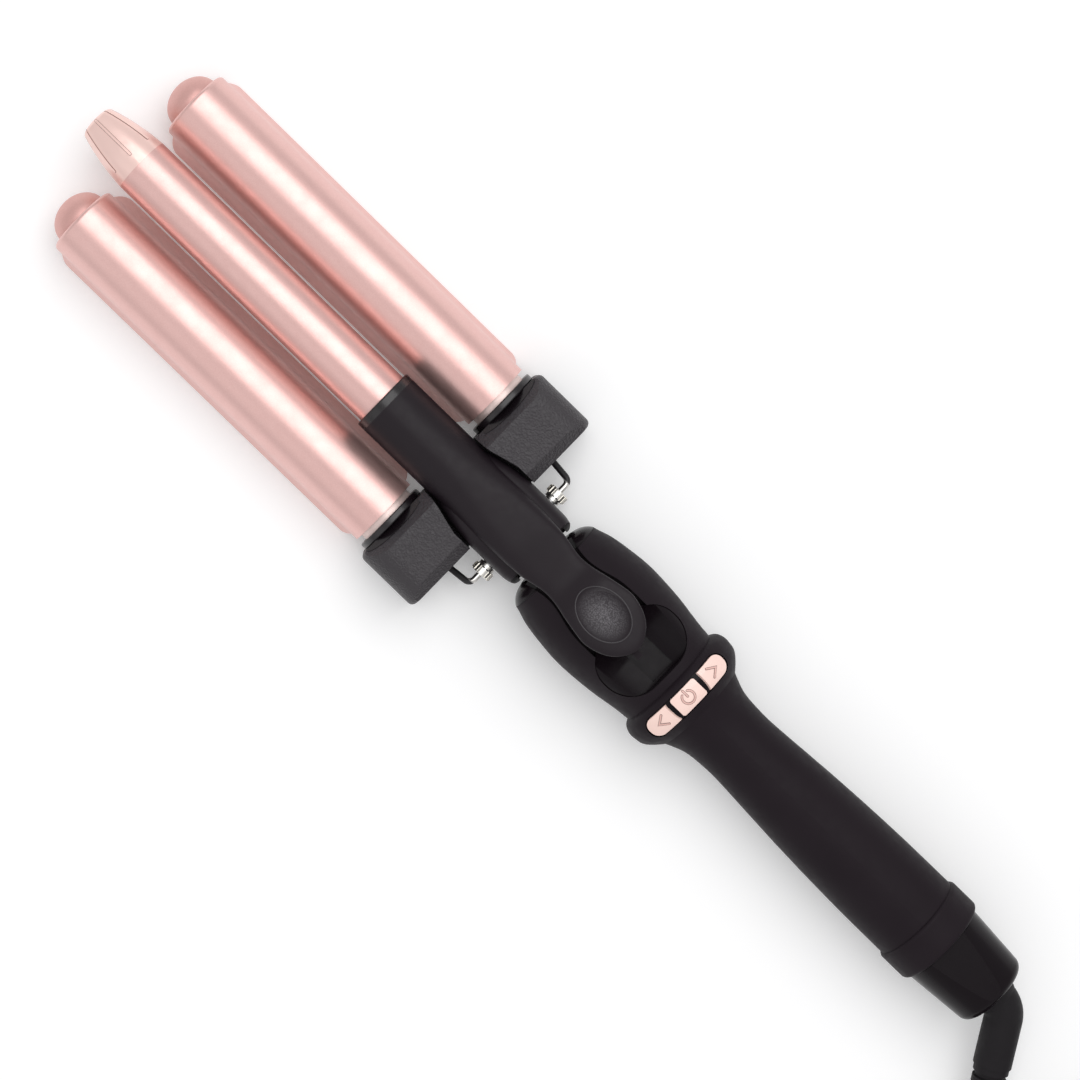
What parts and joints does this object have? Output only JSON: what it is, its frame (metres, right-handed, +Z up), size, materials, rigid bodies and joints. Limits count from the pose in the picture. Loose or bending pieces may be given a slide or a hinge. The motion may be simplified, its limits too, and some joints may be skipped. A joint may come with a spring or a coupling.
{
  "type": "hair waver",
  "caption": "Hair waver with outer heated barrels fixed to the handle, a middle barrel on a sprung clamp lever, push buttons, a fold-out wire stand and a swivel mains cord.",
  "frame": {"origin": "on the surface the tool lies on, midway between the barrel tip and the swivel cap, on the centre plane", "axes": "+X towards the barrel tips, +Y towards the right-hand outer barrel, +Z up, the lever's side"},
  "size_m": [0.5697, 0.1254, 0.0446],
  "materials": {
    "rose_paint": "satin metallic",
    "soft_black": "soft touch, fine grain",
    "gloss_black": "gloss",
    "rose_plastic": "satin gloss",
    "nickel": "bright nickel plate",
    "steel": "drawn",
    "aluminium": "as extruded",
    "ceramic": "ceramic heater plate",
    "inner_plastic": "moulded",
    "board": "circuit board",
    "brass": "plain",
    "cord_rubber": "matte",
    "grey_plastic": "moulded"
  },
  "bodies": {
    "handle": {"upper_shell": "soft_black", "lower_shell": "soft_black", "thumb_well": "gloss_black", "nose_cap": "soft_black", "button_bezel": "gloss_black", "tact_switches": "inner_plastic", "switch_carrier": "inner_plastic", "circuit_board": "board", "board_parts": "inner_plastic", "case_screws": "steel", "end_collar": "soft_black", "yoke_frame": "soft_black", "yoke_cover": "soft_black", "hinge_cover": "soft_black", "yoke_screws": "steel", "hinge_pin": "steel", "lever_spring": "steel", "left_stand_bush": "nickel", "right_stand_bush": "nickel", "left_barrel": "rose_paint", "right_barrel": "rose_paint", "left_end_dome": "rose_paint", "right_end_dome": "rose_paint", "left_barrel_neck": "rose_paint", "right_barrel_neck": "rose_paint", "left_heat_flange": "gloss_black", "right_heat_flange": "gloss_black", "left_heater": "ceramic", "right_heater": "ceramic", "left_spreader": "aluminium", "right_spreader": "aluminium"},
    "lever": {"lever_shell": "soft_black", "lever_front_ring": "gloss_black", "press_stop": "grey_plastic", "middle_barrel": "rose_paint", "cool_tip": "rose_plastic", "middle_heater": "ceramic", "middle_spreader": "aluminium"},
    "stand": {"stand_wire": "nickel"},
    "power_button": {"power_button": "rose_plastic"},
    "up_button": {"up_button": "rose_plastic"},
    "down_button": {"down_button": "rose_plastic"},
    "swivel": {"swivel_cap": "gloss_black", "swivel_core": "inner_plastic", "slip_rings": "brass", "cord_elbow": "cord_rubber", "strain_relief": "cord_rubber", "power_cord": "cord_rubber", "cord_coil": "cord_rubber", "cord_tail": "cord_rubber", "mains_plug": "cord_rubber", "plug_pins": "brass"}
  },
  "joints": [
    {"name": "lever_pivot", "type": "hinge", "parent": "handle", "child": "lever", "pos_m": [0.0136, 0, 0.011], "axis": [0, -1, 0], "range_deg": [0, 10], "stiffness_Nm_per_rad": 3, "deforming": ["lever_spring"]},
    {"name": "stand_pivot", "type": "hinge", "parent": "handle", "child": "stand", "pos_m": [0.0136, 0, 0.011], "axis": [0, 1, 0], "range_deg": [0, 85]},
    {"name": "power_press", "type": "slide", "parent": "handle", "child": "power_button", "axis": [0, 0, -1], "range_m": [0, 0.0008], "stiffness_N_per_m": 1500},
    {"name": "up_press", "type": "slide", "parent": "handle", "child": "up_button", "axis": [0, 0.5108, -0.8597], "range_m": [0, 0.0008], "stiffness_N_per_m": 1500},
    {"name": "down_press", "type": "slide", "parent": "handle", "child": "down_button", "axis": [0, -0.5108, -0.8597], "range_m": [0, 0.0008], "stiffness_N_per_m": 1500},
    {"name": "cord_swivel", "type": "hinge", "parent": "handle", "child": "swivel", "pos_m": [-0.19, 0, 0.02], "axis": [1, 0, 0], "continuous": true}
  ]
}
